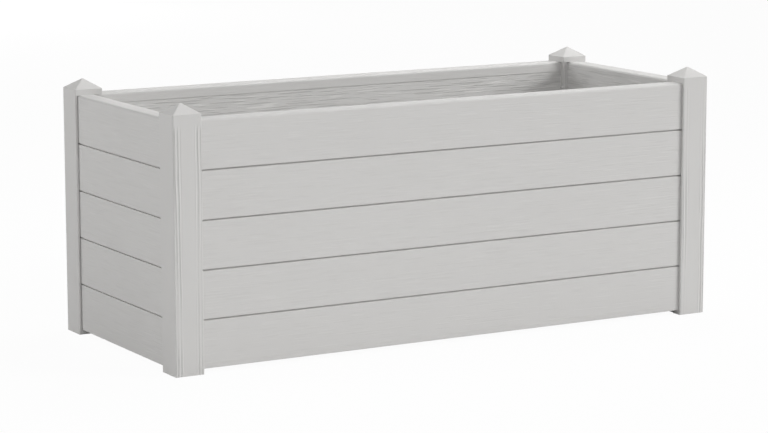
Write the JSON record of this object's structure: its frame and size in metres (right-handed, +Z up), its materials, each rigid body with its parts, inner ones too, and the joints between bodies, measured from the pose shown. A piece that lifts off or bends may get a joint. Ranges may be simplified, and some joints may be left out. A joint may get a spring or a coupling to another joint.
{
  "type": "self-watering planter box",
  "caption": "Long slatted planter box on corner posts with pyramid caps; inside are a water reservoir, a wicking soil platform, a fill tube with a hinged cap and a float gauge.",
  "frame": {"origin": "on the floor under the middle of the box", "axes": "+X along the length of the box, front wall towards -Y, +Z up"},
  "size_m": [1, 0.416, 0.4216],
  "materials": {
    "composite_board": "pale grey wood composite, embossed with a fine horizontal grain",
    "composite_post": "pale grey wood composite, embossed with a fine upright grain",
    "composite_cap": "pale grey wood composite, smooth moulded",
    "floor_composite": "grey composite, sawn",
    "screw_steel": "stainless steel",
    "tray_plastic": "black moulded polypropylene",
    "platform_plastic": "pale grey moulded polypropylene",
    "pipe_plastic": "mid grey pipe",
    "lid_plastic": "black moulded plastic",
    "gasket_rubber": "black rubber",
    "float_plastic": "white foamed plastic",
    "stem_plastic": "white rod",
    "marker_plastic": "red marker"
  },
  "bodies": {
    "planter_box": {"back_board_1": "composite_board", "back_board_2": "composite_board", "back_board_3": "composite_board", "back_board_4": "composite_board", "back_board_5": "composite_board", "cap_back_left": "composite_cap", "cap_back_right": "composite_cap", "cap_front_left": "composite_cap", "cap_front_right": "composite_cap", "corner_screws": "screw_steel", "floor_rail_back": "floor_composite", "floor_rail_front": "floor_composite", "floor_slat_1": "floor_composite", "floor_slat_2": "floor_composite", "floor_slat_3": "floor_composite", "floor_slat_4": "floor_composite", "floor_slat_5": "floor_composite", "front_board_1": "composite_board", "front_board_2": "composite_board", "front_board_3": "composite_board", "front_board_4": "composite_board", "front_board_5": "composite_board", "left_board_1": "composite_board", "left_board_2": "composite_board", "left_board_3": "composite_board", "left_board_4": "composite_board", "left_board_5": "composite_board", "overflow_gasket": "gasket_rubber", "overflow_nut": "pipe_plastic", "overflow_pipe": "pipe_plastic", "post_back_left": "composite_post", "post_back_right": "composite_post", "post_front_left": "composite_post", "post_front_right": "composite_post", "rail_screws": "screw_steel", "reservoir_tray": "tray_plastic", "right_board_1": "composite_board", "right_board_2": "composite_board", "right_board_3": "composite_board", "right_board_4": "composite_board", "right_board_5": "composite_board"},
    "soil_insert": {"soil_platform": "platform_plastic", "platform_batten_front": "platform_plastic", "platform_batten_back": "platform_plastic", "fill_tube": "pipe_plastic", "fill_collar": "pipe_plastic", "hinge_pin": "screw_steel", "gauge_tube": "pipe_plastic", "gauge_cap": "lid_plastic", "wick_basket_1": "platform_plastic", "wick_basket_2": "platform_plastic", "wick_basket_3": "platform_plastic", "wick_basket_4": "platform_plastic"},
    "fill_lid": {"fill_cap": "lid_plastic"},
    "level_float": {"gauge_float": "float_plastic", "gauge_stem": "stem_plastic", "gauge_tip": "marker_plastic"}
  },
  "joints": [
    {"name": "insert_lift", "type": "slide", "parent": "planter_box", "child": "soil_insert", "axis": [0, 0, 1], "range_m": [0, 0.36]},
    {"name": "fill_lid_hinge", "type": "hinge", "parent": "soil_insert", "child": "fill_lid", "pos_m": [-0.363, -0.125, 0.3726], "axis": [0, 1, 0], "range_deg": [0, 110]},
    {"name": "float_slide", "type": "slide", "parent": "soil_insert", "child": "level_float", "axis": [0, 0, 1], "range_m": [0, 0.06]}
  ]
}
